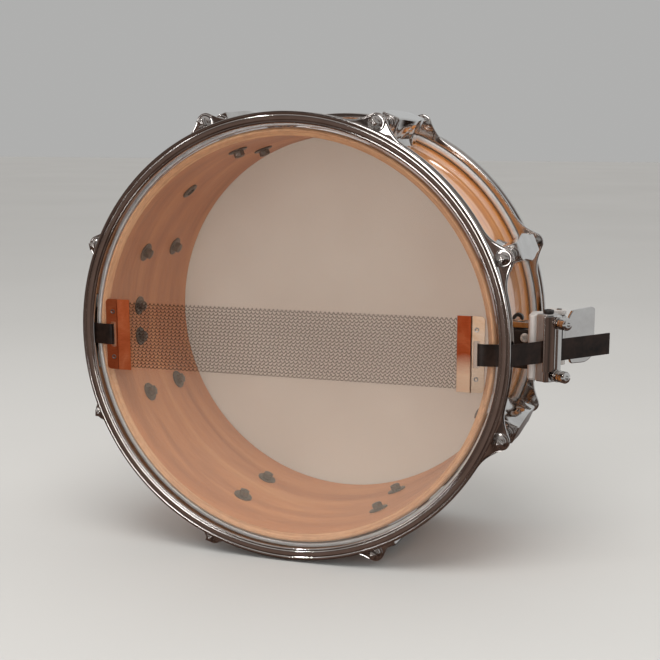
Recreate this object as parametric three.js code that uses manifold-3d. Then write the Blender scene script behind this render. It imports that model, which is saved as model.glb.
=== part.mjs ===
// Snare drum, 14 x 6.5 inch, standing on its side. Millimetres, +Z up.
// The drum is drawn about its own axis (z toward the snare side, x toward the strainer)
// and turned at the end so that the axis lies along Y with the snare side at -Y.
import * as THREE from 'three';
import { mergeVertices } from 'three/addons/utils/BufferGeometryUtils.js';
import Module from 'manifold-3d';

const wasm = await Module();
wasm.setup();

// ---- driving dimensions ----
const SHELL_OUTER = 176.5;
const SHELL_WALL = 7;
const SHELL_INNER = SHELL_OUTER - SHELL_WALL;
const EDGE = 82.5; // bearing edge above the drum's middle
const HEAD_TOP = 83.2;
const RIM_TOP = 89.6;
const LIP_RADIUS = 189.6;
const FLANGE_RADIUS = 189.2; // between the ears
const EAR_RADIUS = 203.4;
const ROD_CIRCLE = 194.5;
const ROD_RADIUS = 2.75;
const LUG_COUNT = 8;
const LUG_HALF_LENGTH = 42;
const LUG_TOP = 202;
const LUG_SCREW = 30; // either side of the lug's middle
const STRAP_WIDTH = 18;
const STRAP_THICKNESS = 0.7;
const STRAND_COUNT = 20;
const STRAND_SPACING = 2.9;
const STRAND_RADIUS = 1.1;
const STRAND_LEVEL = 84.65;
const WIRES_DROP = -2; // wires and straps hang a little below the drum's centre line
const PLATE_WIDTH = 62;
const CLAMP = { x: 216, z: 49.3 }; // middle of the strainer's clamp, on the strap
const STRAP_SLOPE = Math.atan2(-0.774, 0.633);
const PRESS_SCREW = 21.5; // clamp screws, either side of the strap
const LEVER_PIN = { x: 213, z: -8 };
const SCREW_OFFSET = 14.4; // mounting screws of the strainer and the butt end
const CENTRE_X = -26.7;
const CENTRE_Z = 190.9;
const ROUND = 48; // sides of the large round pieces

const X_AXIS = new THREE.Vector3(1, 0, 0);
const Y_AXIS = new THREE.Vector3(0, 1, 0);
const Z_AXIS = new THREE.Vector3(0, 0, 1);

const turns = (degrees) => (degrees * Math.PI) / 180;

// ---- finishes ----
const finish = (color, roughness, metalness) => ({ color, roughness, metalness });
const CHROME = finish(0xb9b6b3, 0.12, 1);
const ALUMINIUM = finish(0x9a9492, 0.42, 1);
const MAPLE = finish(0xb8763a, 0.25, 0);
const HAZY_FILM = finish(0xc2aa96, 0.35, 0);
const COATED_FILM = finish(0xe6e2da, 0.7, 0);
const STEEL = finish(0x8d8884, 0.35, 1);
const COPPER = finish(0xd08a68, 0.38, 1);
const NYLON = finish(0x17110f, 0.5, 0);

// ---- shape helpers ----
function toSolid(geometry) {
  const plain = new THREE.BufferGeometry();
  plain.setAttribute('position', geometry.getAttribute('position').clone());
  if (geometry.index) plain.setIndex(geometry.index.clone());
  const merged = mergeVertices(plain, 1e-4);
  const corners = [];
  const index = merged.index.array;
  for (let i = 0; i < index.length; i += 3) {
    const [a, b, c] = [index[i], index[i + 1], index[i + 2]];
    if (a !== b && b !== c && a !== c) corners.push(a, b, c);
  }
  return new wasm.Manifold(new wasm.Mesh({
    numProp: 3,
    vertProperties: new Float32Array(merged.getAttribute('position').array),
    triVerts: new Uint32Array(corners),
  }));
}

function toGeometry(solid) {
  const mesh = solid.getMesh();
  const geometry = new THREE.BufferGeometry();
  geometry.setAttribute('position', new THREE.BufferAttribute(mesh.vertProperties, 3));
  geometry.setIndex(new THREE.BufferAttribute(mesh.triVerts, 1));
  geometry.computeVertexNormals();
  return geometry;
}

const join = (...solids) => solids.reduce((sum, next) => sum.add(next));
const cut = (solid, ...tools) => tools.reduce((left, tool) => left.subtract(tool), solid);

function block(x0, x1, y0, y1, z0, z1) {
  const box = new THREE.BoxGeometry(x1 - x0, y1 - y0, z1 - z0);
  box.translate((x0 + x1) / 2, (y0 + y1) / 2, (z0 + z1) / 2);
  return toSolid(box);
}

// A cylinder along z between two heights, centred on (x, y).
function post(radius, z0, z1, x = 0, y = 0, sides = 16) {
  const bar = new THREE.CylinderGeometry(radius, radius, Math.abs(z1 - z0), sides);
  bar.rotateX(Math.PI / 2);
  bar.translate(x, y, (z0 + z1) / 2);
  return toSolid(bar);
}

// A cylinder along x, and one along y.
const bolt = (radius, x0, x1, y, z, sides = 12) =>
  post(radius, x0, x1, 0, 0, sides).rotate([0, 90, 0]).translate([0, y, z]);
const pin = (radius, y0, y1, x, z, sides = 16) =>
  post(radius, y0, y1, 0, 0, sides).rotate([-90, 0, 0]).translate([x, 0, z]);

// A closed outline in the x-z plane, carried along y from y0 to y1.
function slab(outline, y0, y1) {
  const shape = new THREE.Shape(outline.map(([x, z]) => new THREE.Vector2(x, z)));
  const body = new THREE.ExtrudeGeometry(shape, { depth: y1 - y0, bevelEnabled: false });
  body.rotateX(Math.PI / 2);
  body.translate(0, y1, 0);
  return toSolid(body);
}

// A closed (radius, height) outline swept round the axis; the outline may change with the angle.
function sweepRound(angles, outlineAt) {
  const rings = angles.map((angle) => outlineAt(angle)
    .map(([r, z]) => [r * Math.cos(angle), r * Math.sin(angle), z]));
  const size = rings[0].length;
  const corners = [];
  rings.forEach((ring, i) => {
    const next = (i + 1) % rings.length;
    ring.forEach((_, j) => {
      const k = (j + 1) % size;
      corners.push(i * size + j, next * size + j, next * size + k);
      corners.push(i * size + j, next * size + k, i * size + k);
    });
  });
  const geometry = new THREE.BufferGeometry();
  geometry.setAttribute('position', new THREE.Float32BufferAttribute(rings.flat(2), 3));
  geometry.setIndex(corners);
  return toSolid(geometry);
}

const evenAngles = (count) => Array.from({ length: count }, (_, i) => (i * 2 * Math.PI) / count);
const ring = (outline, count = ROUND) => sweepRound(evenAngles(count), () => outline);

// A flat strip of even thickness following a line of (x, z) points, carried across y.
function ribbon(points, thickness, y0, y1) {
  const side = (sign) => points.map(([x, z], i) => {
    const [ax, az] = points[Math.max(i - 1, 0)];
    const [bx, bz] = points[Math.min(i + 1, points.length - 1)];
    const length = Math.hypot(bx - ax, bz - az);
    const reach = (sign * thickness) / 2;
    return [x - ((bz - az) / length) * reach, z + ((bx - ax) / length) * reach];
  });
  return slab([...side(1), ...side(-1).reverse()], y0, y1);
}

// ---- assembly ----
const drum = new THREE.Group();
drum.name = 'snare_drum';

function place(name, solid, look) {
  const geometry = toGeometry(solid);
  geometry.rotateX(Math.PI / 2);
  geometry.translate(CENTRE_X, 0, CENTRE_Z);
  const mesh = new THREE.Mesh(geometry, new THREE.MeshStandardMaterial(look));
  mesh.name = name;
  drum.add(mesh);
}

const toBatterSide = (solid) => solid.rotate([180, 0, 0]);
const lugAngles = Array.from({ length: LUG_COUNT }, (_, i) => 22.5 + (i * 360) / LUG_COUNT);

// ---- shell and vent ----
function shell() {
  let body = ring([
    [SHELL_INNER, -EDGE + 4.1], [SHELL_INNER + 4.1, -EDGE], [SHELL_OUTER - 1.2, -EDGE + 0.9],
    [SHELL_OUTER, -EDGE + 3.5], [SHELL_OUTER, EDGE - 3.5], [SHELL_OUTER - 1.2, EDGE - 0.9],
    [SHELL_INNER + 4.1, EDGE], [SHELL_INNER, EDGE - 4.1],
  ]);
  const hole = (angle, radius, y, z, sides = 6) =>
    bolt(radius, SHELL_INNER - 5, SHELL_OUTER + 5, y, z, sides).rotate([0, 0, angle]);
  for (const angle of lugAngles) {
    body = cut(body, hole(angle, 2.8, 0, LUG_SCREW), hole(angle, 2.8, 0, -LUG_SCREW));
  }
  body = cut(body, hole(135, 6.4, 0, 12, 12));
  for (const y of [-SCREW_OFFSET, SCREW_OFFSET]) {
    body = cut(body, hole(0, 2.8, y, 10), hole(180, 2.8, y, 22));
  }
  return body;
}

function ventGrommet() {
  const bore = bolt(4, SHELL_INNER - 6, SHELL_OUTER + 6, 0, 12, 12);
  return cut(join(
    bolt(5.8, SHELL_INNER - 1.4, SHELL_OUTER + 1.4, 0, 12, 12),
    bolt(8.5, SHELL_OUTER + 0.3, SHELL_OUTER + 1.5, 0, 12, 16),
    bolt(8, SHELL_INNER - 1.9, SHELL_INNER - 0.9, 0, 12, 16),
  ), bore).rotate([0, 0, 135]);
}

place('shell', shell(), MAPLE);
place('vent_grommet', ventGrommet(), CHROME);

// ---- heads: a film with a turned-down collar, and the hoop that carries it ----
function film() {
  const profile = [
    [0, HEAD_TOP - 0.4], [175.2, HEAD_TOP - 0.4], [177.8, 79], [183, 79], [183, 79.4],
    [178.2, 79.4], [175.5, HEAD_TOP], [0, HEAD_TOP],
  ];
  const skin = new THREE.LatheGeometry(profile.map(([r, z]) => new THREE.Vector2(r, z)), ROUND);
  skin.rotateX(Math.PI / 2);
  return toSolid(skin);
}

const fleshHoop = () => ring([[178.4, 72.6], [182.9, 72.6], [182.9, 78.7], [178.4, 78.7]]);

place('snare_side_head', film(), HAZY_FILM);
place('snare_side_flesh_hoop', fleshHoop(), ALUMINIUM);
place('batter_head', toBatterSide(film()), COATED_FILM);
place('batter_flesh_hoop', toBatterSide(fleshHoop()), ALUMINIUM);

// ---- flanged counterhoops with an ear at every rod ----
const hoopSteps = [-15, -8, -5.8, -4, -2.2, 2.2, 4, 5.8, 8, 15, 22.5];

function earReach(stepFromRod) {
  const rise = THREE.MathUtils.clamp((8.5 - Math.abs(stepFromRod)) / 6.3, 0, 1);
  return FLANGE_RADIUS + (EAR_RADIUS - FLANGE_RADIUS) * rise * rise * (3 - 2 * rise);
}

function hoop(withGates) {
  const steps = lugAngles.flatMap((rod) => hoopSteps.map((step) => ({ rod, step })));
  const reach = new Map(steps.map(({ rod, step }) => [turns(rod + step), earReach(step)]));
  let body = sweepRound([...reach.keys()], (angle) => [
    [184.2, 72.2], [reach.get(angle), 72.2], [reach.get(angle), 74.5], [186.5, 74.5],
    [186.5, 82], [181.8, 82], [181.8, 86.4], [LIP_RADIUS, 88.3],
    [LIP_RADIUS, RIM_TOP], [187.6, RIM_TOP], [179.5, 87], [179.5, 79.7], [184.2, 79.7],
  ]);
  for (const angle of lugAngles) {
    body = cut(body, post(3.5, 70, 76, ROD_CIRCLE, 0, 8).rotate([0, 0, angle]));
  }
  if (withGates) {
    body = cut(body, block(170, 189, -33, 33, 82.2, 86.1), block(-189, -170, -33, 33, 82.2, 86.1));
  }
  return body;
}

place('snare_side_hoop', hoop(true), CHROME);
place('batter_hoop', toBatterSide(hoop(false)), CHROME);

// ---- lugs, each one casting with its two screws through the shell ----
function lug() {
  const outline = new THREE.Shape();
  const waist = [
    [8, LUG_HALF_LENGTH], [8.6, 30], [11, 20], [12, 0], [11, -20], [8.6, -30],
    [8, -LUG_HALF_LENGTH],
  ];
  [...waist, ...waist.map(([w, z]) => [-w, -z])].forEach(([w, z], i) => {
    if (i === 0) outline.moveTo(w, z);
    else outline.lineTo(w, z);
  });
  const height = LUG_TOP - SHELL_OUTER - 0.5;
  const casting = new THREE.ExtrudeGeometry(outline, { depth: height, bevelEnabled: false });
  casting.applyMatrix4(new THREE.Matrix4().makeBasis(Y_AXIS, Z_AXIS, X_AXIS));
  casting.translate(SHELL_OUTER + 0.5, 0, 0);
  let body = toSolid(casting);
  for (const side of [-1, 1]) {
    body = join(body, post(5.6, side * 38, side * 46, ROD_CIRCLE, 0, 10));
  }
  for (const side of [-1, 1]) {
    body = cut(body, post(3.4, side * 26, side * 50, ROD_CIRCLE, 0, 8));
    body = join(
      body,
      bolt(2, SHELL_INNER - 2, SHELL_OUTER + 2, 0, side * LUG_SCREW, 6),
      bolt(6, SHELL_INNER - 3.4, SHELL_INNER - 0.9, 0, side * LUG_SCREW, 8),
    );
  }
  return body;
}

lugAngles.forEach((angle, i) => {
  place(`lug_${i + 1}`, lug().rotate([0, 0, angle]), CHROME);
});

// ---- tension rods: square head, collar and washer over a plain shank ----
function tensionRod() {
  return join(
    post(ROD_RADIUS, 29, 76, ROD_CIRCLE, 0, 6),
    post(7.2, 74.8, 76.3, ROD_CIRCLE, 0, 10),
    post(5.4, 76.2, 78.8, ROD_CIRCLE, 0, 6),
    block(ROD_CIRCLE - 3.2, ROD_CIRCLE + 3.2, -3.2, 3.2, 78.7, 87.6),
  );
}

lugAngles.forEach((angle, i) => {
  const rod = tensionRod();
  place(`snare_tension_rod_${i + 1}`, rod.rotate([0, 0, angle]), CHROME);
  place(`batter_tension_rod_${i + 1}`, toBatterSide(rod).rotate([0, 0, angle]), CHROME);
});

// ---- snare wires: straight stand-ins for the coiled strands, joined by a bar at each end ----
function snareWires() {
  const middle = WIRES_DROP;
  const first = middle - ((STRAND_COUNT - 1) * STRAND_SPACING) / 2;
  const half = (STRAND_COUNT * STRAND_SPACING) / 2;
  const bars = [[-153, -147], [147, 153]].map(([x0, x1]) =>
    block(x0, x1, middle - half, middle + half, 83.8, 85.5));
  const strands = Array.from({ length: STRAND_COUNT }, (_, i) =>
    bolt(STRAND_RADIUS, -150, 150, first + i * STRAND_SPACING, STRAND_LEVEL, 4));
  return join(...bars, ...strands);
}

function endPlate() {
  const half = PLATE_WIDTH / 2;
  const folded = slab([
    [145.4, 86.1], [156.2, 86.1], [157.6, 84.1], [168.9, 84.1], [168.9, 84.9], [158, 84.9],
    [156.6, 86.9], [145.4, 86.9],
  ], WIRES_DROP - half, WIRES_DROP + half);
  return cut(
    folded,
    block(160.4, 164.6, WIRES_DROP - 11, WIRES_DROP + 11, 80, 90),
    post(1.8, 80, 90, 163, WIRES_DROP - 17, 10),
    post(1.8, 80, 90, 163, WIRES_DROP + 17, 10),
  );
}

place('snare_wires', snareWires(), STEEL);
place('snare_end_plate_strainer_side', endPlate(), COPPER);
place('snare_end_plate_butt_side', endPlate().mirror([1, 0, 0]), COPPER);

// ---- straps ----
const strapNear = [[162.2, 83.7], [162.2, 85.2], [162.9, 85.9], [169.5, 85.7], [176, 84.3]];
const strapSide = (points) => ribbon(
  points, STRAP_THICKNESS, WIRES_DROP - STRAP_WIDTH / 2, WIRES_DROP + STRAP_WIDTH / 2,
);
const alongStrap = (along, outward = 0) => [
  CLAMP.x + along * Math.cos(STRAP_SLOPE) - outward * Math.sin(STRAP_SLOPE),
  CLAMP.z + along * Math.sin(STRAP_SLOPE) + outward * Math.cos(STRAP_SLOPE),
];
const strainerStrap = strapSide([
  ...strapNear, [186.8, 84.1], [188.5, 83.2], alongStrap(-42), alongStrap(64),
]);
const buttStrap = strapSide([
  ...strapNear, [186.8, 84.1], [189.6, 83], [190.9, 80.6], [190.9, 30],
]).mirror([1, 0, 0]);

place('strainer_strap', strainerStrap, NYLON);
place('butt_strap', buttStrap, NYLON);

// ---- strainer ----
const SIDE = 27.5;
const tilted = (outline, y0, y1) =>
  slab(outline.map(([along, outward]) => alongStrap(along, outward)), y0, y1);
const tiltedBox = (a0, a1, n0, n1, y0, y1) =>
  tilted([[a0, n0], [a1, n0], [a1, n1], [a0, n1]], y0, y1);
// A cylinder square to the strap at one side of the clamp.
const pressScrew = (radius, n0, n1, y, sides = 12) =>
  post(radius, n0, n1, 0, 0, sides)
    .rotate([0, -THREE.MathUtils.radToDeg(STRAP_SLOPE), 0])
    .translate([CLAMP.x, y, CLAMP.z]);

function strainerBase() {
  const [rampTopX, rampTopZ] = alongStrap(-11, -10.6);
  const [rampEndX, rampEndZ] = alongStrap(9, -10.6);
  const body = slab([
    [190, -32], [207, -32], [207, 22], [rampEndX, rampEndZ], [rampTopX, rampTopZ], [193, 48],
    [190, 40],
  ], -SIDE, SIDE);
  const foot = slab([[177, -30], [191, -30], [191, 38], [177, 34]], -21, 21);
  const ears = [[-26, -20], [20, 26]].map(([y0, y1]) => join(
    slab([[205, -17], [213, -15], [213, -1], [205, 3]], y0, y1),
    pin(7, y0, y1, LEVER_PIN.x, LEVER_PIN.z),
  ));
  return cut(
    join(body, foot, ...ears),
    pin(2.8, -40, 40, LEVER_PIN.x, LEVER_PIN.z, 12),
    bolt(2.5, 170, 190, SCREW_OFFSET, 10, 8),
    bolt(2.5, 170, 190, -SCREW_OFFSET, 10, 8),
    post(3.6, -40, -20, 197, 0, 12),
  );
}

const [capX, capZ] = alongStrap(0, -5.4);

function strainerCarriage() {
  return cut(
    tiltedBox(-9, 8, -10, -0.9, -28, 28),
    pressScrew(2.3, -8, 2, PRESS_SCREW),
    pressScrew(2.3, -8, 2, -PRESS_SCREW),
    pin(2.5, 24.6, 30, capX, capZ, 10),
  );
}

function strainerClampPlate() {
  return cut(
    tiltedBox(-9, 6, 0.9, 5, -27, 27),
    pressScrew(2.3, 0, 6, PRESS_SCREW),
    pressScrew(2.3, 0, 6, -PRESS_SCREW),
  );
}

const clampScrew = (y) => join(pressScrew(1.9, -7, 6, y, 8), pressScrew(4.5, 5.3, 15, y, 14));

function strainerLever() {
  const hub = pin(6, -19, 19, LEVER_PIN.x, LEVER_PIN.z);
  const blade = new THREE.Shape();
  blade.moveTo(3, 16);
  blade.lineTo(9, 16);
  blade.lineTo(12, 24);
  blade.lineTo(31, 24);
  blade.absarc(31, 19, 5, Math.PI / 2, 0, true);
  blade.absarc(24, -12, 12, 0, -Math.PI / 2, true);
  blade.lineTo(12, -24);
  blade.lineTo(9, -16);
  blade.lineTo(3, -16);
  const sheet = new THREE.ExtrudeGeometry(blade, {
    depth: 3, bevelEnabled: false, curveSegments: 5,
  });
  sheet.translate(0, 0, -1.5);
  const paddle = toSolid(sheet).rotate([0, 42, 0])
    .translate([LEVER_PIN.x, 0, LEVER_PIN.z]);
  const bore = pin(2.8, -30, 30, LEVER_PIN.x, LEVER_PIN.z, 12);
  return cut(join(hub, paddle), bore);
}

function tensionKnob() {
  const grip = post(9, -44, -33.2, 197, 0, 20);
  const grooves = evenAngles(10).map((angle) =>
    post(1.1, -46, -32, 197 + 9.3 * Math.cos(angle), 9.3 * Math.sin(angle), 6));
  return join(cut(grip, ...grooves), post(2.9, -34, -21, 197, 0, 10));
}

place('strainer_base', strainerBase(), ALUMINIUM);
place('strainer_carriage', strainerCarriage(), CHROME);
place('strainer_clamp_plate', strainerClampPlate(), CHROME);
place('strainer_clamp_screw_upper', clampScrew(PRESS_SCREW), CHROME);
place('strainer_clamp_screw_lower', clampScrew(-PRESS_SCREW), CHROME);
place('strainer_lever', strainerLever(), CHROME);
place('lever_pin', pin(2.3, -27.5, 27.5, LEVER_PIN.x, LEVER_PIN.z, 12), STEEL);
place('tension_knob', tensionKnob(), CHROME);

place('carriage_stop_cap', join(
  pin(2, 25.2, 29, capX, capZ, 8),
  pin(4.4, 28.3, 31.2, capX, capZ, 12),
), NYLON);

// ---- butt end ----
function buttBody() {
  return cut(
    slab([[177, 6], [190, 8], [190, 52], [186, 56], [177, 56]], -24, 24),
    bolt(2.5, 170, 186, SCREW_OFFSET, 22, 8),
    bolt(2.5, 170, 186, -SCREW_OFFSET, 22, 8),
    bolt(2.3, 180, 196, 17, 40, 8),
    bolt(2.3, 180, 196, -17, 40, 8),
  ).mirror([1, 0, 0]);
}

const buttClampPlate = () => cut(
  block(-195.6, -191.8, -24, 24, 32, 48),
  bolt(2.3, -200, -186, 17, 40, 8),
  bolt(2.3, -200, -186, -17, 40, 8),
);
const buttClampScrew = (y) =>
  join(bolt(1.9, -196.5, -182, y, 40, 8), bolt(4.2, -200, -195.9, y, 40, 12));

place('butt_body', buttBody(), CHROME);
place('butt_clamp_plate', buttClampPlate(), CHROME);
place('butt_clamp_screw_upper', buttClampScrew(17), CHROME);
place('butt_clamp_screw_lower', buttClampScrew(-17), CHROME);

// ---- screws that hold the strainer and the butt end through the shell ----
function mountingScrew(y, z) {
  return join(
    bolt(2, SHELL_INNER - 2, SHELL_OUTER + 7, y, z, 6),
    bolt(5.5, SHELL_INNER - 3.8, SHELL_INNER - 1.5, y, z, 10),
  );
}

place('strainer_screw_upper', mountingScrew(SCREW_OFFSET, 10), STEEL);
place('strainer_screw_lower', mountingScrew(-SCREW_OFFSET, 10), STEEL);
place('butt_screw_upper', mountingScrew(SCREW_OFFSET, 22).mirror([1, 0, 0]), STEEL);
place('butt_screw_lower', mountingScrew(-SCREW_OFFSET, 22).mirror([1, 0, 0]), STEEL);

export default drum;
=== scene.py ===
"""Looks of the snare drum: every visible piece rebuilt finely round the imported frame."""
import math

import bmesh
import bpy
import numpy as np
from mathutils import Matrix, Vector

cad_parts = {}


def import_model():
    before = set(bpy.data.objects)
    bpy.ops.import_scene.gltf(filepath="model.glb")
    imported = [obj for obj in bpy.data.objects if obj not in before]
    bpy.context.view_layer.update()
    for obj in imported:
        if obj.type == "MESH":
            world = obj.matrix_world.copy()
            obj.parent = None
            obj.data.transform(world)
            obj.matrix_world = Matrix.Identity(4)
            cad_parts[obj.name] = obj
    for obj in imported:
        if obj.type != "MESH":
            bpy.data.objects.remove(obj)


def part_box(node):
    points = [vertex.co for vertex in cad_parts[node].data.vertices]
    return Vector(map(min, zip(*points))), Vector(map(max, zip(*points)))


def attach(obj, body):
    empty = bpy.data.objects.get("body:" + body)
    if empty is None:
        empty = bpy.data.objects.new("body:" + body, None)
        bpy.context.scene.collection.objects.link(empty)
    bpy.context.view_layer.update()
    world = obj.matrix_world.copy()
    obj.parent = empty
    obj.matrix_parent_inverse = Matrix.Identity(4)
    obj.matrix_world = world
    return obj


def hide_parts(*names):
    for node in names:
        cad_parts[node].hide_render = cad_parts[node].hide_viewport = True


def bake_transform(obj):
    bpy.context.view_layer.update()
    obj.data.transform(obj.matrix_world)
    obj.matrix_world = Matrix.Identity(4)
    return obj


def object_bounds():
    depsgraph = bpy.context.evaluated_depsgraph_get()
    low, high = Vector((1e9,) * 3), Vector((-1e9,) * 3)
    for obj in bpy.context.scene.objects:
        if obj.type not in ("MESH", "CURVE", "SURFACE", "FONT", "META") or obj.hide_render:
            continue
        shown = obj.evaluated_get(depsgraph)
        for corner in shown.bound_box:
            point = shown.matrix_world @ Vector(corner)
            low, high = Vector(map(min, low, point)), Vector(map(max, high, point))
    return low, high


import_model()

CAD_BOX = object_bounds()
SHELL_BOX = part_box("shell")
CENTRE = (SHELL_BOX[0] + SHELL_BOX[1]) / 2

# Shapes are drawn in millimetres about the drum's axis: x to the strainer, y up, z to the snare side.
MILLIMETRE = 0.001
LUG_STEP = 45
LUG_ANGLES = [LUG_STEP * (i + 0.5) for i in range(8)]
ROD_CIRCLE = 194.5
SHELL_OUTER, SHELL_INNER = 176.5, 169.5
EDGE_LEVEL, FILM_LEVEL = 82.5, 83.2
VENT_ANGLE, VENT_HEIGHT, VENT_RADIUS = 135, 12, 5.9
WIRES_DROP = -2
STRAND_COUNT, STRAND_SPACING = 20, 2.9
PLATE_HALF, PLATE_END, RIVET_OFFSET = 31, 168.1, 20
STRAP_HALF = 9
STRAND_END, STRAND_LEVEL = 151, 84.65
CLAMP_X, CLAMP_Z, CLAMP_SCREW_OFFSET = 216, 49.3, 21.5
BUTT_LEVEL, BUTT_SCREW_OFFSET = 40, 17
FIXING_SCREW_OFFSET = 14.4
KNOB_X = 197
STRAP_SLOPE = math.atan2(-0.774, 0.633)
LEVER_X, LEVER_Z = 213, -8
LEVER_REST = 42


# ---- shapes: each is a list of points and a list of faces ----
def to_row(points):
    """Millimetres about the drum's axis into the row's metres."""
    x, y, z = (np.asarray(points, float) * MILLIMETRE).T
    return np.column_stack((x, -z, y)) + np.array(CENTRE)


def joined(*shapes):
    """Several shapes as one."""
    points, faces = [], []
    for shape_points, shape_faces in shapes:
        start = len(points)
        points.extend(map(tuple, shape_points))
        faces.extend([tuple(start + i for i in face) for face in shape_faces])
    return points, faces


def moved(shape, matrix):
    """The shape with a matrix applied to its points."""
    return [tuple(matrix @ Vector(p)) for p in shape[0]], shape[1]


def turned_by(shape, degrees):
    """The shape turned about z, which is the drum's axis."""
    return moved(shape, Matrix.Rotation(math.radians(degrees), 4, "Z"))


def to_batter(shape):
    """The same shape on the other side of the drum."""
    return moved(shape, Matrix.Rotation(math.pi, 4, "X"))


def mirrored(shape):
    """The same shape on the butt side."""
    return [(-x, y, z) for x, y, z in shape[0]], shape[1]


def oblong(x0, x1, y0, y1):
    """The four corners of an outline with square sides."""
    return [(x0, y0), (x1, y0), (x1, y1), (x0, y1)]


def arc(x, y, wide, high, start, end, count):
    """Points of an ellipse round (x, y), from one angle to another in degrees."""
    angles = [math.radians(start + (end - start) * k / (count - 1)) for k in range(count)]
    return [(x + wide * math.cos(t), y + high * math.sin(t)) for t in angles]


def curve(t, a, leaving, b, arriving):
    """The place at t on a cubic from a to b that has the given slopes at its ends."""
    return ((2 * t ** 3 - 3 * t ** 2 + 1) * a + (t ** 3 - 2 * t ** 2 + t) * leaving
            + (3 * t ** 2 - 2 * t ** 3) * b + (t ** 3 - t ** 2) * arriving)


def rounded(outline, radius, steps=4):
    """A closed outline with its corners rounded; radius is one number or one for each corner."""
    corners = [Vector(p) for p in outline]
    out = []
    for i, corner in enumerate(corners):
        before, after = corners[i - 1] - corner, corners[(i + 1) % len(corners)] - corner
        wanted = radius[i] if isinstance(radius, (list, tuple)) else radius
        reach = min(wanted, 0.46 * before.length, 0.46 * after.length)
        if reach < 0.02:
            out.append(tuple(corner))
            continue
        start, end = corner + before.normalized() * reach, corner + after.normalized() * reach
        for k in range(steps + 1):
            t = k / steps
            out.append(tuple(start * (1 - t) ** 2 + corner * 2 * t * (1 - t) + end * t * t))
    return out


def swept(angles, outline_at):
    """A closed (radius, height) outline carried round the axis."""
    rings = [[(r * math.cos(a), r * math.sin(a), z) for r, z in outline_at(a)] for a in angles]
    count, size = len(rings), len(rings[0])
    faces = []
    for i in range(count):
        for j in range(size):
            here, there, k = i * size, (i + 1) % count * size, (j + 1) % size
            faces.append((here + j, there + j, there + k, here + k))
    return [p for ring in rings for p in ring], faces


def ring(outline, steps=192):
    """One (radius, height) outline carried round the axis."""
    angles = [2 * math.pi * i / steps for i in range(steps)]
    return swept(angles, lambda angle: outline)


def lofted(sections):
    """A solid through loops of equally many points, with its two ends closed."""
    size, last = len(sections[0]), len(sections) - 1
    faces = []
    for i in range(last):
        for j in range(size):
            here, there, k = i * size, (i + 1) * size, (j + 1) % size
            faces.append((here + j, here + k, there + k, there + j))
    faces.append(tuple(reversed(range(size))))
    faces.append(tuple(last * size + j for j in range(size)))
    return [p for section in sections for p in section], faces


def turned(profile, steps=32):
    """A solid turned about z from an open (radius, height) profile whose two ends are capped."""
    angles = [2 * math.pi * i / steps for i in range(steps)]
    return lofted([[(r * math.cos(a), r * math.sin(a), z) for a in angles] for r, z in profile])


def aimed(shape, origin, direction):
    """Turns a shape drawn along z so that it starts at origin and points along direction."""
    spin = Vector(direction).to_track_quat("Z", "Y").to_matrix().to_4x4()
    return moved(shape, Matrix.Translation(origin) @ spin)


def slab(outline, y0, y1):
    """An outline of (x, z) points carried along y."""
    size = len(outline)
    points = [(x, y, z) for y in (y0, y1) for x, z in outline]
    faces = [tuple(reversed(range(size))), tuple(range(size, 2 * size))]
    faces += [(i, (i + 1) % size, (i + 1) % size + size, i + size) for i in range(size)]
    return points, faces


def block(x0, x1, y0, y1, z0, z1):
    return slab(oblong(x0, x1, z0, z1), y0, y1)


def plate(outline, z0, z1):
    """An outline of (x, y) points carried along z."""
    points, faces = slab(outline, z0, z1)
    return [(x, z, y) for x, y, z in points], faces


def bevelled(shape, width, segments=3, angle=28):
    """Rounds every edge that turns by more than angle degrees."""
    solid = bmesh.new()
    corners = [solid.verts.new(p) for p in shape[0]]
    for face in shape[1]:
        solid.faces.new([corners[i] for i in face])
    bmesh.ops.recalc_face_normals(solid, faces=solid.faces)
    sharp = [e for e in solid.edges if e.calc_face_angle(0) > math.radians(angle)]
    bmesh.ops.bevel(solid, geom=sharp, offset=width, offset_type="OFFSET", segments=segments,
                    profile=0.5, affect="EDGES", clamp_overlap=True)
    solid.verts.index_update()
    out = [tuple(v.co) for v in solid.verts], [tuple(v.index for v in f.verts) for f in solid.faces]
    solid.free()
    return out


def as_mesh(name, points, faces):
    """A mesh with all its faces turned outwards."""
    mesh = bpy.data.meshes.new(name)
    mesh.from_pydata([tuple(p) for p in points], [], faces)
    solid = bmesh.new()
    solid.from_mesh(mesh)
    bmesh.ops.recalc_face_normals(solid, faces=solid.faces)
    solid.to_mesh(mesh)
    solid.free()
    return mesh


def placed(name, data):
    """An object in the scene that shows a mesh, a lamp or a camera."""
    made = bpy.data.objects.new(name, data)
    bpy.context.scene.collection.objects.link(made)
    return made


def carved(shape, *tools):
    """The shape with the tools cut away."""
    made = [placed("carving", as_mesh("carving", *part)) for part in (shape, *tools)]
    for tool in made[1:]:
        cut = made[0].modifiers.new("cut", "BOOLEAN")
        cut.operation = "DIFFERENCE"
        cut.solver = "EXACT"
        cut.object = tool
    graph = bpy.context.evaluated_depsgraph_get()
    done = bpy.data.meshes.new_from_object(made[0].evaluated_get(graph))
    out = [tuple(v.co) for v in done.vertices], [tuple(f.vertices) for f in done.polygons]
    for helper in made:
        bpy.data.objects.remove(helper)
    bpy.data.meshes.remove(done)
    return out


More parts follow.
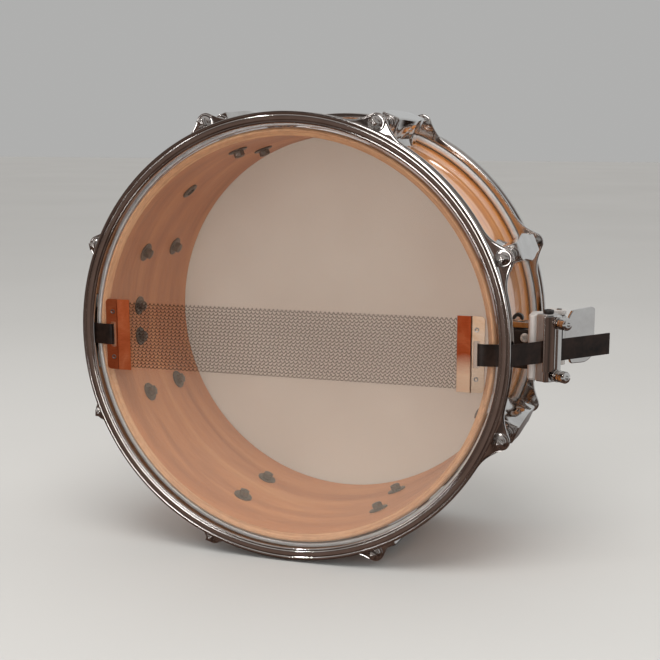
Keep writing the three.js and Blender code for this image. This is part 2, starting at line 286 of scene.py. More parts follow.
def piece(name, shape, look, body="drum", replaces=(), sharp=32, choose=None):
    """Makes the object. look is a material, or several with choose giving each face its own."""
    mesh = as_mesh(name, to_row(shape[0]), shape[1])
    looks = look if isinstance(look, (list, tuple)) else [look]
    for material in looks:
        mesh.materials.append(material)
    if choose:
        local = np.asarray(shape[0], float)
        for polygon in mesh.polygons:
            polygon.material_index = choose(local[list(polygon.vertices)].mean(0))
    mesh.shade_smooth()
    mesh.set_sharp_from_angle(angle=math.radians(sharp))
    made = placed(name, mesh)
    even = made.modifiers.new("even", "WEIGHTED_NORMAL")
    even.keep_sharp = True
    if body:
        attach(made, body)
    if replaces:
        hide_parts(*replaces)
    return made


# ---- materials ----
class Nodes:
    """The node tree of a material or of the world, with short calls that add its nodes."""

    def __init__(self, owner, coordinate):
        owner.use_nodes = True
        self.tree = owner.node_tree
        self.tree.nodes.clear()
        self.coord = self.add("TexCoord").outputs[coordinate]

    def feed(self, socket, value):
        """Sets a socket, or links it when the value is another socket."""
        if isinstance(value, bpy.types.NodeSocket):
            self.tree.links.new(value, socket)
        else:
            socket.default_value = value

    def add(self, kind, inputs=None, **settings):
        """Adds a shader node; inputs are sockets to link or values to set."""
        made = self.tree.nodes.new("ShaderNode" + kind)
        for key, value in settings.items():
            setattr(made, key, value)
        for key, value in (inputs or {}).items():
            self.feed(made.inputs[key], value)
        return made

    def noise(self, scale, vector=None, detail=3.0, roughness=0.5, distortion=0.0):
        return self.add("TexNoise", {
            "Vector": vector or self.coord, "Scale": scale, "Detail": detail,
            "Roughness": roughness, "Distortion": distortion,
        }).outputs["Fac"]

    def ramp(self, value, *stops):
        """stops are (position, colour or grey)."""
        made = self.add("ValToRGB", {"Fac": value})
        elements = made.color_ramp.elements
        while len(elements) < len(stops):
            elements.new(0.5)
        for element, (position, colour) in zip(elements, stops):
            element.position = position
            full = colour if isinstance(colour, tuple) else (colour,) * 3
            element.color = (*full, 1)
        return made.outputs["Color"]

    def ranged(self, value, start, end, low=0.0, high=1.0):
        """Goes from low to high while value goes from start to end."""
        return self.add("MapRange", {"Value": value, "From Min": start, "From Max": end,
                                     "To Min": low, "To Max": high}).outputs[0]

    def level(self, value, low, high):
        """Spreads a value between 0 and 1 from low to high."""
        return self.ranged(value, 0.0, 1.0, low, high)

    def mixed(self, factor, a, b, blend="MIX"):
        """Mixes two colours, each a socket or three numbers."""
        made = self.add("Mix", {0: factor}, data_type="RGBA", blend_type=blend)
        for socket, value in ((made.inputs[6], a), (made.inputs[7], b)):
            self.feed(socket, (*value, 1) if isinstance(value, tuple) else value)
        return made.outputs[2]


    def overlaid(self, share, colour, value, *stops):
        """Lays the light and dark of a ramp over a colour."""
        return self.mixed(share, colour, self.ramp(value, *stops), "OVERLAY")

    def total(self, a, b):
        return self.add("Math", {0: a, 1: b}, operation="ADD").outputs[0]

    def weighed(self, value, weight, other):
        """value times weight, plus other."""
        return self.add("Math", {0: value, 1: weight, 2: other}, operation="MULTIPLY_ADD").outputs[0]

    def either(self, factor, first, second):
        """Mixes two shaders."""
        return self.add("MixShader", {0: factor, 1: first, 2: second}).outputs[0]


class Look(Nodes):
    """A material that is drawn by its nodes."""

    def __init__(self, name):
        self.material = bpy.data.materials.new(name)
        super().__init__(self.material, "Object")

    def centred(self, scale=(1, 1, 1)):
        """Object coordinates measured from the drum's middle, stretched by scale."""
        back = tuple(-c * s for c, s in zip(CENTRE, scale))
        return self.add("Mapping", {"Vector": self.coord, "Location": back, "Scale": scale}).outputs[0]

    def height(self):
        """Metres above the drum's middle."""
        return self.add("SeparateXYZ", {0: self.centred()}).outputs["Z"]

    def bump(self, height, distance, strength=1.0):
        return self.add("Bump", {"Height": height, "Distance": distance,
                                 "Strength": strength}).outputs[0]

    def finished(self, shader):
        """The material, once its shader is joined to its output."""
        self.add("OutputMaterial", {"Surface": shader})
        return self.material

    def shade(self, colour, roughness, relief, others=None):
        """The material with one surface; others are its further inputs."""
        inputs = {"Base Color": colour, "Roughness": roughness, "Normal": relief, **(others or {})}
        return self.finished(self.add("BsdfPrincipled", inputs).outputs[0])


def metal(name, dark, light, rough, grain=90, streak=(1, 1, 1), bump=0.00001, scratch=0.0,
          metallic=1.0):
    """Metal with patches of tone, uneven polish and fine marks; rough is its two roughnesses."""
    look = Look(name)
    stretched = look.centred(streak)
    patches = look.noise(grain, stretched, detail=4, roughness=0.6)
    fine = look.noise(grain * 9, stretched, detail=2)
    colour = look.ramp(patches, (0.3, dark), (0.72, light))
    gloss = look.level(patches, rough[0], rough[1])
    relief = look.bump(fine, bump, 0.5 + scratch)
    return look.shade(colour, gloss, relief, {"Metallic": metallic})


CHROME = metal("chrome", (0.60, 0.575, 0.56), (0.70, 0.685, 0.67), (0.045, 0.13), grain=60)
WORN_CHROME = metal("worn_chrome", (0.46, 0.42, 0.40), (0.62, 0.59, 0.57), (0.09, 0.26), grain=150)
ALUMINIUM = metal("satin_aluminium", (0.66, 0.62, 0.59), (0.80, 0.76, 0.73), (0.46, 0.60),
                  grain=70, streak=(9, 9, 1), bump=0.00004, scratch=0.3, metallic=0.66)
DARK_STEEL = metal("dark_steel", (0.085, 0.07, 0.062), (0.15, 0.125, 0.11), (0.34, 0.5), grain=120)
SATIN_CHROME = metal("satin_chrome", (0.58, 0.55, 0.53), (0.72, 0.69, 0.67), (0.30, 0.44),
                     grain=70, streak=(9, 9, 1), bump=0.00003, scratch=0.2)
STEEL = metal("plain_steel", (0.26, 0.24, 0.22), (0.42, 0.39, 0.37), (0.24, 0.42), grain=120)
# Painted shade and painted dark reflection: the strands' steel is given a near-black tone, standing in
# for their shade and the dark room they mirror.
WIRE = metal("snare_wire", (0.020, 0.014, 0.011), (0.058, 0.042, 0.034), (0.32, 0.46), grain=200)
ZINC = metal("zinc_plate", (0.60, 0.57, 0.53), (0.78, 0.75, 0.71), (0.38, 0.55),
             grain=260, metallic=0.5)
BRIGHT_ALUMINIUM = metal("bright_aluminium", (0.74, 0.76, 0.77), (0.90, 0.92, 0.93), (0.34, 0.48),
                         metallic=0.55)
SOLDER = metal("solder", (0.38, 0.35, 0.33), (0.55, 0.52, 0.50), (0.28, 0.5), grain=300, bump=0.0001)


def copper(name, dark, middle, light, painted_glare=None):
    """Brushed copper sheet; the last argument, when given, is a paler tone painted over the sheet's
    lower part as a painted reflection of lamp light.
    """
    look = Look(name)
    brushed = look.noise(260, look.centred((1, 1, 9)), detail=4, roughness=0.65)
    stain = look.noise(38, look.centred(), detail=5, roughness=0.6, distortion=0.6)
    tone = look.ramp(stain, (0.28, dark), (0.5, middle), (0.75, light))
    # Painted reflection: below a wavy line by height, the tone turns to the paler one given, standing in
    # for lamp light mirrored in the lower plate.
    if painted_glare:
        painted_glare_height = look.weighed(stain, 0.012, look.height())
        tone = look.mixed(look.ranged(painted_glare_height, 0.004, -0.012), tone, painted_glare)
    colour = look.overlaid(0.22, tone, brushed, (0.3, 0.25), (0.8, 0.9))
    return look.shade(colour, look.level(brushed, 0.30, 0.46), look.bump(brushed, 0.00003, 0.6),
                      {"Metallic": 1.0})


def nylon():
    """Woven black strap with a fine rib and a few scuffs."""
    look = Look("black_strap")
    ribs = look.noise(420, look.centred((1, 1, 0.08)), roughness=0.6)
    across = look.noise(900, look.centred((0.2, 0.2, 1)), detail=2)
    scuffs = look.noise(70, look.centred(), detail=5, roughness=0.7)
    colour = look.ramp(scuffs, (0.35, (0.004, 0.0022, 0.0016)), (0.75, (0.026, 0.013, 0.009)))
    weave = look.total(ribs, across)
    return look.shade(colour, look.level(ribs, 0.26, 0.44), look.bump(weave, 0.00006, 0.5),
                      {"Specular IOR Level": 0.26})


def plastic():
    """Black moulded plastic with a fine grain."""
    look = Look("black_plastic")
    grains = look.noise(900, detail=2)
    colour = look.ramp(look.noise(120), (0.3, (0.010, 0.008, 0.008)), (0.8, (0.024, 0.020, 0.019)))
    return look.shade(colour, look.level(grains, 0.35, 0.5), look.bump(grains, 0.00003))


def lacquered_maple():
    """Maple veneer with its grain running round the drum, under a glossy coat."""
    look = Look("lacquered_maple")
    bands = look.noise(5.5, look.centred((1, 30, 1)), detail=6, roughness=0.62, distortion=0.25)
    fibres = look.noise(16, look.centred((1, 60, 1)), detail=4, roughness=0.7)
    figure = look.noise(26, look.centred((1.6, 0.5, 1.6)), distortion=0.8)
    tone = look.ramp(bands, (0.25, (0.46, 0.140, 0.022)), (0.5, (0.66, 0.235, 0.044)),
                     (0.78, (0.82, 0.345, 0.076)))
    tone = look.overlaid(0.35, tone, fibres, (0.35, 0.32), (0.7, 0.72))
    tone = look.overlaid(0.18, tone, figure, (0.3, 0.3), (0.7, 0.8))
    return look.shade(tone, look.level(fibres, 0.30, 0.42), look.bump(fibres, 0.00004, 0.35),
                      {"Coat Weight": 1.0, "Coat Roughness": 0.045, "Coat IOR": 1.55})


def inside_maple():
    """Sanded maple inside the shell, with broad plies of tone and short flecks."""
    look = Look("inside_maple")
    bands = look.noise(4.0, look.centred((1, 9, 1)), detail=5, roughness=0.55, distortion=0.5)
    flecks = look.noise(90, look.centred((0.5, 3.2, 0.5)), roughness=0.6)
    cloud = look.noise(9, look.centred(), detail=2)
    tone = look.ramp(bands, (0.25, (0.42, 0.142, 0.048)), (0.55, (0.58, 0.230, 0.084)),
                     (0.8, (0.69, 0.325, 0.130)))
    tone = look.overlaid(0.25, tone, flecks, (0.38, 0.36), (0.62, 0.62))
    tone = look.overlaid(0.25, tone, cloud, (0.3, 0.38), (0.7, 0.62))
    return look.shade(tone, look.level(flecks, 0.42, 0.56), look.bump(flecks, 0.00005, 0.5))


def edge_maple_painted_shade():
    """The cut bearing edge, where the plies show as thin rings, with its tone darkened as painted shade.
    """
    look = Look("edge_maple_painted_shade")
    plies = look.noise(30, look.centred((0.4, 30, 0.4)), detail=2)
    pores = look.noise(500, look.centred((0.3, 1, 0.3)), detail=2)
    # Painted shade: these ply tones are set dark and orange, for the shadow the bearing edge lies in
    # under the hoop and film collar.
    tone = look.ramp(plies, (0.3, (0.40, 0.175, 0.075)), (0.7, (0.58, 0.31, 0.155)))
    tone = look.overlaid(0.2, tone, pores, (0.4, 0.3), (0.6, 0.7))
    return look.shade(tone, look.level(pores, 0.45, 0.6), look.bump(pores, 0.00004, 0.4))


def hazy_film():
    """Thin clear film with a faint milky haze; towards the bottom it is painted paler, cooler and less
    clear, painted light for the brighter lower film.
    """
    look = Look("hazy_film")
    cloud = look.noise(11, look.centred(), roughness=0.55)
    dust = look.noise(700, look.centred(), detail=2)
    # Painted light: by height, the film grows less clear and its milk paler and cooler towards the
    # bottom, standing in for the brighter light on the lower film.
    low = look.ranged(look.height(), 0.15, -0.15, 0.035, 0.105)
    cool = look.ranged(look.height(), 0.06, -0.12)
    warm_milk = look.ramp(cloud, (0.3, (0.50, 0.33, 0.24)), (0.75, (0.58, 0.41, 0.31)))
    milk = look.mixed(cool, warm_milk, (0.72, 0.62, 0.52))
    specks = look.total(look.level(cloud, -0.012, 0.012), look.level(dust, -0.01, 0.01))
    return look.shade(milk, look.level(dust, 0.28, 0.36), look.bump(cloud, 0.0004, 0.25),
                      {"Alpha": look.total(low, specks), "IOR": 1.5})


def coated_film():
    """Batter film with its sprayed white coat, which glows a little from the light behind it."""
    look = Look("coated_film")
    cloud = look.noise(8, look.centred(), detail=4, roughness=0.55)
    grit = look.noise(1300, look.centred(), roughness=0.7)
    colour = look.ramp(cloud, (0.3, (0.715, 0.655, 0.60)), (0.75, (0.78, 0.73, 0.675)))
    relief = look.bump(grit, 0.00008, 0.6)
    surface = look.add("BsdfPrincipled", {
        "Base Color": colour, "Roughness": look.level(grit, 0.55, 0.75), "Normal": relief})
    glow = look.add("BsdfTranslucent", {"Color": colour, "Normal": relief})
    return look.finished(look.either(0.55, surface.outputs[0], glow.outputs[0]))


COPPER = copper("copper", (0.50, 0.10, 0.032), (0.62, 0.15, 0.055), (0.74, 0.25, 0.11))
# The last, pale tone of this copper is painted reflection, laid over the lower part of the plate.
PAINTED_GLARE_COPPER = copper("painted_glare_copper", (0.36, 0.060, 0.018), (0.44, 0.088, 0.029), (0.56, 0.16, 0.065),
                       painted_glare=(0.95, 0.66, 0.46))
# This paler copper is painted highlight, for lamp light mirrored in the outer part of the plate.
PAINTED_HIGHLIGHT_COPPER = copper("painted_highlight_copper", (0.50, 0.32, 0.20), (0.57, 0.43, 0.32), (0.64, 0.52, 0.41))
NYLON = nylon()
PLASTIC = plastic()
OUTER_WOOD = lacquered_maple()
INNER_WOOD = inside_maple()
EDGE_WOOD_PAINTED_SHADE = edge_maple_painted_shade()
HAZY_FILM = hazy_film()
COATED_FILM = coated_film()


# ---- shell, vent and heads ----
def at_vent(shape):
    """Turns a shape drawn along z so that it points out through the vent hole."""
    return turned_by(aimed(shape, (0, 0, VENT_HEIGHT), (1, 0, 0)), VENT_ANGLE)


def shell_shape():
    """The shell's wall, which ends in a bearing edge on each side, with its vent hole."""
    half = [(SHELL_OUTER, EDGE_LEVEL - 3.5), (SHELL_OUTER - 1.2, EDGE_LEVEL - 0.6),
            (SHELL_OUTER - 2.9, EDGE_LEVEL), (SHELL_INNER, EDGE_LEVEL - 4.1)]
    outline = rounded([(r, -z) for r, z in reversed(half)] + half,
                      [0.4, 0.5, 0.8, 1.5, 1.5, 0.8, 0.5, 0.4], 3)
    hole = turned([(VENT_RADIUS, SHELL_INNER - 9), (VENT_RADIUS, SHELL_OUTER + 9)])
    return carved(ring(outline, 256), at_vent(hole))


def which_wood(point):
    """Lacquer outside, sanded maple inside and cut plies on the bearing edges."""
    r = math.hypot(point[0], point[1])
    if r > SHELL_OUTER - 0.5:
        return 0
    return 1 if r < SHELL_INNER + 0.2 and abs(point[2]) < EDGE_LEVEL - 4.5 else 2


piece("maple_shell", shell_shape(), [OUTER_WOOD, INNER_WOOD, EDGE_WOOD_PAINTED_SHADE],
      replaces=["shell"], choose=which_wood)


def vent_sleeve():
    """A tube through the shell with a domed flange outside and a dished one inside."""
    low, high = SHELL_INNER - 2.1, SHELL_OUTER + 1.8
    tube = ring(rounded(oblong(4, VENT_RADIUS - 0.2, low + 0.2, high - 0.3), 0.3, 2), 32)
    dome = ring(rounded([(4.1, high - 1.6), (8.5, high - 1.6), (8.5, high - 1), (6.4, high),
                         (4.1, high)], 0.5, 3), 40)
    dish = ring(rounded([(4.1, low), (8, low + 0.8), (8, low + 1.8), (4.1, low + 1.5)], 0.4, 3), 40)
    return at_vent(joined(tube, dome, dish))


def sleeve_side(point):
    """The sleeve is dark inside the shell and worn chrome outside."""
    return 1 if math.hypot(point[0], point[1]) < SHELL_INNER + 2.5 else 0


piece("vent_sleeve", vent_sleeve(), [WORN_CHROME, DARK_STEEL], replaces=["vent_grommet"],
      choose=sleeve_side)


def film_shape():
    """A head's film: flat, bent over the bearing edge and crimped into its flesh hoop."""
    top = [(r, FILM_LEVEL) for r in (1, 30, 60, 90, 120, 150, 170, 174.6)]
    collar = [(175.6, 82.95), (176.6, 82.2), (177.5, 80.6), (178.0, 79.7), (178.8, 79.4), (183, 79.4),
              (183, 79.1), (178.6, 79.05), (177.6, 79.4), (177.1, 80.4), (176.3, 81.8), (175.4, 82.6)]
    under = [(r, FILM_LEVEL - 0.3) for r in (174.4, 170, 150, 120, 90, 60, 30, 1)]
    return turned(top + collar + under, 192)


piece("snare_film", film_shape(), HAZY_FILM, replaces=["snare_side_head"])
piece("batter_film", to_batter(film_shape()), COATED_FILM, replaces=["batter_head"])

channel = ring(rounded(oblong(177.7, 183.4, 72.6, 78.8), [2.4, 2.4, 1.2, 1.2], 5))
piece("snare_flesh_hoop", channel, BRIGHT_ALUMINIUM, replaces=["snare_side_flesh_hoop"])
piece("batter_flesh_ring", to_batter(channel), BRIGHT_ALUMINIUM, replaces=["batter_flesh_hoop"])


# ---- flanged hoops ----
EAR_RADIUS, EAR_ARC, PLAIN_FLANGE, EAR_SPREAD = 8.2, 5.9, 189.2, 30


def ear_reach(distance):
    """How far the flange reaches at this distance round the hoop from a rod."""
    if distance < EAR_ARC:
        return ROD_CIRCLE + math.sqrt(EAR_RADIUS ** 2 - distance ** 2)
    if distance > EAR_SPREAD:
        return PLAIN_FLANGE
    rise = math.sqrt(EAR_RADIUS ** 2 - EAR_ARC ** 2)
    run = EAR_SPREAD - EAR_ARC
    slope = -EAR_ARC / rise * run
    return curve((distance - EAR_ARC) / run, ROD_CIRCLE + rise, slope, PLAIN_FLANGE, 0)


def hoop_outline(angle):
    """The hoop's cross-section at one angle: its flange grows into an ear round each rod."""
    apart = (math.degrees(angle) - LUG_ANGLES[0]) % LUG_STEP
    apart = min(apart, LUG_STEP - apart)
    distance = math.radians(apart) * ROD_CIRCLE
    reach = ear_reach(distance)
    fullness = (reach - PLAIN_FLANGE) / (ROD_CIRCLE + EAR_RADIUS - PLAIN_FLANGE)
    return rounded(
        [(184.2, 72.2), (reach, 72.2), (reach + 0.1, 75.0), (reach - 1.4, 74.6), (186.3, 75.4),
         (186.4, 85.6), (189.4, 86.4), (189.7, 89.6), (187.4, 89.5), (186.7, 88.7), (185.9, 89.2),
         (182.4, 88.9), (181.6, 88.1), (180.9, 88.4), (179.5, 87.6), (179.5, 79.7), (184.2, 79.7)],
        [0.8, 1.2, 1.2, 1.2, 2.4 + 2.0 * fullness, 1.6, 1.4, 1.3, 0.7, 0.5, 0.8, 0.8, 0.5, 0.6, 0.9,
         0.9, 1.0], 3)


def hoop_angles():
    """Angles for the sections, close together at the ears and further apart between them."""
    steps = [-22.5, -20, -17.5, -15, -12.5, -10.5]
    steps += [-9 + 0.5 * i for i in range(37)]
    steps += [10.5, 12.5, 15, 17.5, 20]
    return [math.radians(angle + step) for angle in LUG_ANGLES for step in steps]


plain_hoop = swept(hoop_angles(), hoop_outline)
GATE_HALF, GATE_LOW, GATE_HIGH = 33, 82.3, 86
GATE_NEAR, GATE_FAR = 170, 185.6


def gate_tool(x0, x1):
    """Cuts the gate that the snare strap passes through."""
    outline = rounded(oblong(-GATE_HALF, GATE_HALF, GATE_LOW, GATE_HIGH), 1.2, 3)
    points, faces = slab(outline, x0, x1)
    return [(y, x, z) for x, y, z in points], faces


gated_hoop = carved(plain_hoop, gate_tool(GATE_NEAR, GATE_FAR), gate_tool(-GATE_FAR, -GATE_NEAR))
piece("snare_rim", gated_hoop, CHROME, replaces=["snare_side_hoop"], sharp=26)
piece("batter_rim", to_batter(plain_hoop), CHROME, replaces=["batter_hoop"], sharp=26)


# ---- lugs ----
LUG_HALF, LUG_TOP, LUG_SCREW_OFFSET = 42, 202, 30
LUG_END_WIDTH, LUG_SWELL, LUG_SCOOP, LUG_FLARE = 8, 4, 3.6, 2.6
LUG_ROUNDING, LUG_EASE = 1.2, 0.8


def lug_section(z, width, scoop, base, height):
    """One cross-section of the casting: a flat top, a hollowed side and a flared foot."""
    foot = SHELL_OUTER + 0.2
    half = [
        (height, 0), (height, width - 1.3), (height - 0.35, width - 0.45), (height - 1.2, width),
        (height - 6.0, width - 0.25), (height - 8.6, width - scoop * 0.45),
        (height - 11.6, width - scoop * 0.95), (height - 15.0, width - scoop),
        (height - 18.2, width - scoop * 0.75), (height - 20.6, (width + base) / 2 - scoop * 0.25),
        (height - 22.4, base), (foot, base),
    ]
    other = [(x, -y) for x, y in reversed(half[1:])]
    return [(x, y, z) for x, y in half + other]


def smooth_step(t):
    """Rises from 0 to 1 with level ends."""
    t = min(max(t, 0), 1)
    return t * t * (3 - 2 * t)


def lug_bowl(side):
    """The long hollow that is cut from one side of the casting."""
    half = [(0.018, -0.999)] + arc(0, 0, 1, 1, -80, 80, 17) + [(0.0006, 0.9999)]
    ball, faces = turned(half, 40)
    middle, reach = (191.6, side * 15.6, 0), (7.2, 6.6, 15)
    return [tuple(m + r * c for m, r, c in zip(middle, reach, point)) for point in ball], faces


def lug_shape():
    """The casting with a receiver tube and its collar at each end."""
    heights = [LUG_HALF, LUG_HALF - 0.4, LUG_HALF - LUG_ROUNDING]
    heights += [LUG_HALF - 4 - 3 * i for i in range(12)] + [2.5]
    heights += [0] + [-z for z in reversed(heights)]
    sections = []
    for z in heights:
        swell, hollow = smooth_step(1 - abs(z) / 37), smooth_step(1 - abs(z) / 31)
        end = max(0, abs(z) - (LUG_HALF - LUG_ROUNDING)) / LUG_ROUNDING
        width = LUG_END_WIDTH + LUG_SWELL * swell - LUG_EASE * end ** 2
        sections.append(lug_section(z, width, LUG_SCOOP * hollow, width + 0.3 + LUG_FLARE * swell,
                                    LUG_TOP - LUG_EASE * end ** 2))
    casting = carved(lofted(sections), lug_bowl(1), lug_bowl(-1))
    barrels = []
    for side in (1, -1):
        tube = oblong(3.1, 5.3, LUG_HALF - 6, LUG_HALF + 4.4)
        receiver = ring(rounded(tube, [0, 0, 1.1, 0.5], 4), 40)
        collar = ring(rounded(oblong(4.8, 7.0, LUG_HALF - 1, LUG_HALF + 1.6), 0.9, 4), 40)
        both = moved(joined(receiver, collar), Matrix.Translation((ROD_CIRCLE, 0, 0)))
        barrels.append(both if side == 1 else to_batter(both))
    return joined(casting, *barrels)


def inside_screw(radius=5.0, washer=8.6):
    """A screw head on its washer, drawn along z with the shell's wall at z = 0."""
    disc = turned(rounded([(0.01, 0.2), (washer, 0.2), (washer, 1.5), (0.01, 2.0)],
                          [0, 0.5, 0.5, 0], 3), 36)
    head = bevelled(plate(arc(0, 0, radius, radius, 0, 300, 6), 1.6, 6.2), 0.5, 2)
    dome = turned([(radius * 0.8, 6.1), (radius * 0.66, 6.6), (0.3, 6.9)], 24)
    return joined(disc, head, dome)


def on_wall(shape, angle, z):
    """Puts a screw on the inside of the shell."""
    inward = aimed(shape, (SHELL_INNER + 0.1, 0, z), (-1, 0, 0))
    return turned_by(inward, angle)


lug = lug_shape()
for index, angle in enumerate(LUG_ANGLES, 1):
    piece(f"lug_casting_{index}", turned_by(lug, angle), CHROME, replaces=[f"lug_{index}"],
          sharp=24)
    screw = turned_by(inside_screw(), 17 * index)
    pair = [on_wall(screw, angle, side * LUG_SCREW_OFFSET) for side in (1, -1)]
    piece(f"lug_screws_{index}", joined(*pair), DARK_STEEL)


# ---- tension rods ----
def threads(radius, z0, z1, pitch=1.05, depth=0.3):
    """The profile of a thread from z0 to z1."""
    profile, z = [(radius, z0)], z0
    while z + pitch < z1:
        profile += [(radius, z + pitch * 0.3), (radius - depth, z + pitch * 0.55),
                    (radius, z + pitch * 0.8)]
        z += pitch
    return profile + [(radius, z1)]


def rod_shape():
    """A washer, a round collar, a square head with a bevelled end and a threaded shank."""
    washer = ring(rounded([(2.9, 74.65), (7.3, 74.65), (7.3, 76.0), (6.3, 76.35), (2.9, 76.35)],
                          [0.1, 0.35, 0.6, 0.5, 0.1], 3), 40)
    collar = turned([(5.2, 76.3), (5.55, 76.7), (5.6, 77.3), (5.3, 77.8), (4.6, 78.15), (4.3, 78.5),
                     (4.25, 79.0), (3.6, 79.5), (2.0, 79.7)])
    squares = [[(s * x, s * y, z) for x, y in ((-1, -1), (1, -1), (1, 1), (-1, 1))]
               for z, s in ((79.2, 3.3), (85.0, 3.1), (85.95, 1.45))]
    head = bevelled(lofted(squares), 0.28, 2)
    tip = turned([(1.5, 85.7), (1.3, 86.1), (0.9, 86.35), (0.3, 86.4)], 24)
    shank = turned([(2.0, 29), (2.6, 29.8)] + threads(2.75, 30, 66) + [(2.75, 76)], 18)
    return joined(washer, collar, head, tip, shank)


rod = rod_shape()
for index, angle in enumerate(LUG_ANGLES, 1):
    for side, turn in (("snare", 31 * index), ("batter", 53 * index + 11)):
        own = moved(turned_by(rod, turn), Matrix.Translation((ROD_CIRCLE, 0, 0)))
        if side == "batter":
            own = to_batter(own)
        name = f"{side}_tension_rod_{index}"
        piece(f"{side}_rod_{index}", turned_by(own, angle), CHROME, body=name, replaces=[name])


# ---- snare wires and their end plates ----
def coil(y, phase, radius=1.12, wire=0.25, pitch=3.8, around=10, sides=5):
    """One coiled strand along x; phase shifts its turns, as no two strands line up."""
    count = int(2 * STRAND_END / pitch * around)
    slope = math.atan2(2 * math.pi * radius, pitch)
    sections = []
    for i in range(count + 1):
        a = 2 * math.pi * i / around + phase
        x = -STRAND_END + pitch * i / around
        out = Vector((0, math.cos(a), math.sin(a)))
        side = Vector((math.sin(slope), math.sin(a) * math.cos(slope), -math.cos(a) * math.cos(slope)))
        middle = Vector((x, y, STRAND_LEVEL)) + out * radius
        turns = [2 * math.pi * k / sides for k in range(sides)]
        sections.append([tuple(middle + (out * math.cos(b) + side * math.sin(b)) * wire) for b in turns])
    return lofted(sections)


strand_rows = [WIRES_DROP + (i - (STRAND_COUNT - 1) / 2) * STRAND_SPACING for i in range(STRAND_COUNT)]
strands = joined(*[coil(y, 0.7 * math.sin(1.9 * i) - 0.5 * i) for i, y in enumerate(strand_rows)])
BAR_NEAR, BAR_FAR, BAR_HALF = STRAND_END - 3.6, STRAND_END + 2, PLATE_HALF - 2
bars = [bevelled(block(x0, x1, WIRES_DROP - BAR_HALF, WIRES_DROP + BAR_HALF, 83.75, 85.3), 0.5, 2)
        for x0, x1 in ((-BAR_FAR, -BAR_NEAR), (BAR_NEAR, BAR_FAR))]


def near_bar(point):
    """Solder beyond the ends of the strands, and wire elsewhere."""
    return 1 if abs(point[0]) > STRAND_END + 0.5 else 0


piece("coiled_snare_wires", joined(strands, *bars), [WIRE, SOLDER], replaces=["snare_wires"],
      choose=near_bar)


def end_plate_shape():
    """A folded copper sheet with rounded outer corners and a slot for the strap."""
    low, high = WIRES_DROP - PLATE_HALF, WIRES_DROP + PLATE_HALF
    folded = slab(rounded(
        [(145.4, 85.5), (156.1, 86.45), (156.5, 85.1), (PLATE_END, 85.1), (PLATE_END, 85.9),
         (157.4, 85.9), (156.9, 87.1), (145.4, 86.05)],
        [0.3, 0.5, 0.5, 0.3, 0.3, 0.5, 0.55, 0.3], 4), low, high)
    slot_low, slot_high = WIRES_DROP - STRAP_HALF - 2, WIRES_DROP + STRAP_HALF + 2
    slot_tool = plate(rounded(oblong(158.9, 163.9, slot_low, slot_high), 1.4, 4), 80, 90)
    corners, radius = [], 3.6
    for end, edge in ((1, high), (-1, low)):
        cut = [(PLATE_END + 1.4, edge + end * 0.6), (PLATE_END + 1.4, edge - end * 4)]
        cut += arc(PLATE_END - radius, edge - end * radius, radius, end * radius, 0, 90, 10)
        corners.append(plate(cut + [(PLATE_END - 3.1, edge + end * 0.6)], 80, 90))
    return carved(folded, slot_tool, *corners)


def plate_rivets():
    """The two eyelets of the plate."""
    out = []
    for y in (WIRES_DROP - RIVET_OFFSET, WIRES_DROP + RIVET_OFFSET):
        eye = ring(rounded([(0.95, 85.4), (2.0, 85.4), (2.0, 86.4), (0.95, 86.3)], 0.28, 3), 28)
        pit = turned([(1.15, 85.4), (1.05, 85.75), (0.2, 85.8)], 20)
        out.append(moved(joined(eye, pit), Matrix.Translation((161.4, y, 0))))
    return joined(*out)


def past_fold(point):
    """The part of the plate outside its fold takes the paler copper, a painted highlight of lamp light.
    """
    return 1 if point[0] > 157.1 and point[2] > 85.4 else 0


end_plate, rivets = bevelled(end_plate_shape(), 0.12, 2, angle=60), plate_rivets()
# The strainer-side plate carries painted highlight: its outer part and its lower part are painted paler
# for mirrored lamp light.
piece("strainer_side_copper_plate", end_plate, [PAINTED_GLARE_COPPER, PAINTED_HIGHLIGHT_COPPER],
      replaces=["snare_end_plate_strainer_side"], choose=past_fold)
piece("strainer_side_plate_rivets", rivets, STEEL)
piece("butt_side_copper_plate", mirrored(end_plate), COPPER,
      replaces=["snare_end_plate_butt_side"])
piece("butt_side_plate_rivets", mirrored(rivets), STEEL)


# ---- straps ----
def along_strap(along, outward=0.0):
    """The (x, z) point this far along the strap from the clamp, and this far off its face."""
    return (CLAMP_X + along * math.cos(STRAP_SLOPE) - outward * math.sin(STRAP_SLOPE),
            CLAMP_Z + along * math.sin(STRAP_SLOPE) + outward * math.cos(STRAP_SLOPE))


def smooth_line(points, per=6):
    """A smooth line through the points, with a few points to each stretch."""
    marks = [Vector(p) for p in points]
    marks = [marks[0]] + marks + [marks[-1]]
    out = []
    for before, a, b, after in zip(marks, marks[1:], marks[2:], marks[3:]):
        leaving = (b - before).normalized() * (b - a).length
        arriving = (after - a).normalized() * (b - a).length
        out += [curve(k / per, a, leaving, b, arriving) for k in range(per)]
    return out + [marks[-1]]


def strap_shape(points, thickness=0.7, width=2 * STRAP_HALF):
    """A flat strip with soft edges that follows the (x, z) points."""
    line = smooth_line(points)
    section = [(-0.5, -0.42), (-0.47, -0.5), (0.47, -0.5), (0.5, -0.42), (0.5, 0.42), (0.47, 0.5),
               (0.43, 0.42), (0.30, 0.5), (-0.30, 0.5), (-0.43, 0.42), (-0.47, 0.5), (-0.5, 0.42)]
    sections = []
    for i, here in enumerate(line):
        ahead = (line[min(i + 1, len(line) - 1)] - line[max(i - 1, 0)]).normalized()
        normal = Vector((-ahead[1], ahead[0]))
        spots = [(here + normal * up * thickness, WIRES_DROP + aside * width) for aside, up in section]
        sections.append([(spot[0], y, spot[1]) for spot, y in spots])
    return lofted(sections)


